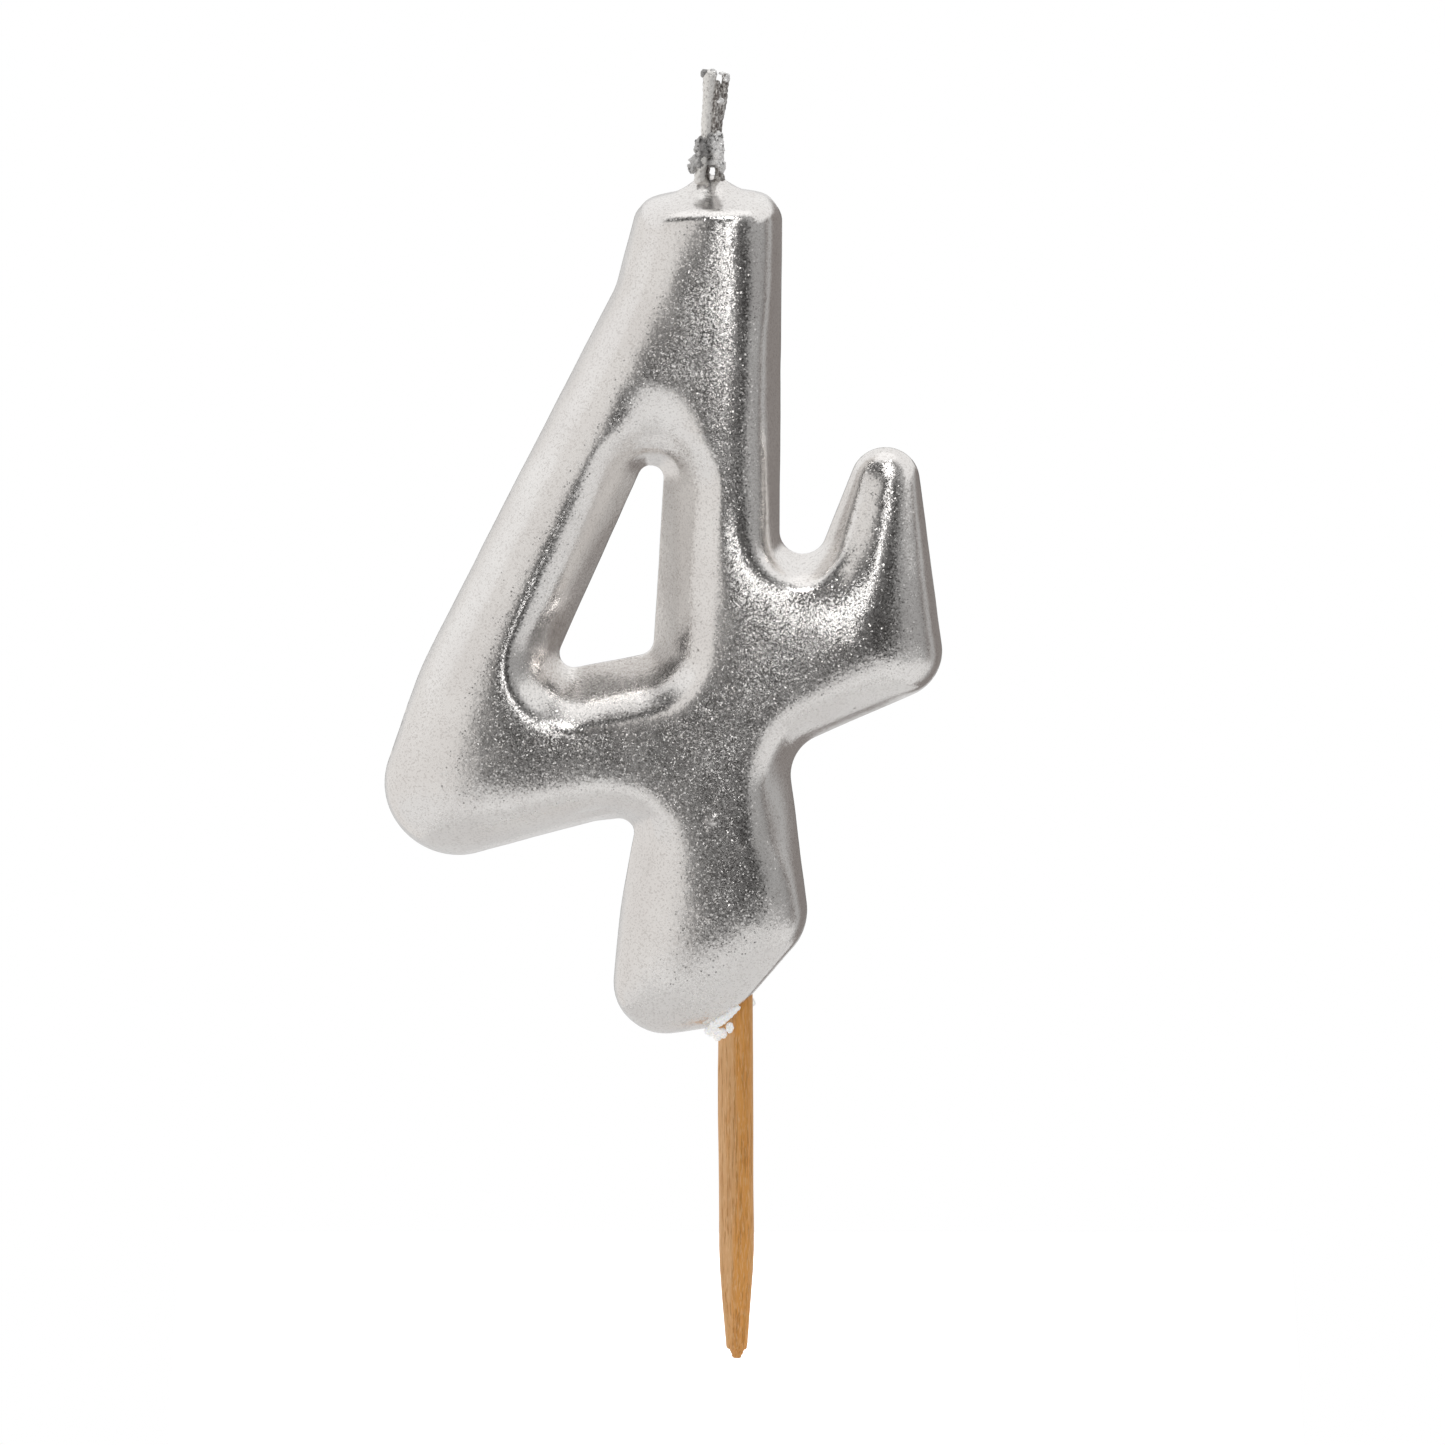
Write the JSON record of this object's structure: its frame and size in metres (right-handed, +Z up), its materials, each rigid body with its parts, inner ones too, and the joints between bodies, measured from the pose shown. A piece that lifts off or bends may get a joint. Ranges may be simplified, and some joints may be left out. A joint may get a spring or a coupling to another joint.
{
  "type": "numeral candle",
  "caption": "Puffed numeral four cake candle in silver lacquer over wax, with a short stiff wick and a pointed wooden pick.",
  "frame": {"origin": "on the pick's axis, where its free straight stretch starts, 3 mm below where it leaves the wax", "axes": "+Z up towards the wick, the front of the numeral faces -Y, +X is to the right seen from the front"},
  "size_m": [0.045, 0.011, 0.108],
  "materials": {
    "wax": "soft paraffin wax, slightly translucent",
    "silver_lacquer": "satin metallic lacquer with a fine flake",
    "wick": "cotton yarn stiffened with wax and silver lacquer",
    "wick_lacquer": "dried silver lacquer lumps",
    "pick_wood": "bare fine-grained wood",
    "raw_wax": "torn white wax"
  },
  "bodies": {
    "root": {"wax_body": "wax", "silver_coat": "silver_lacquer", "wick_yarn_left": "wick", "wick_yarn_right": "wick", "wick_yarn_back": "wick", "wick_crust": "wick_lacquer", "wick_tips": "wick_lacquer", "pick": "pick_wood", "pick_seal": "raw_wax"}
  },
  "joints": []
}
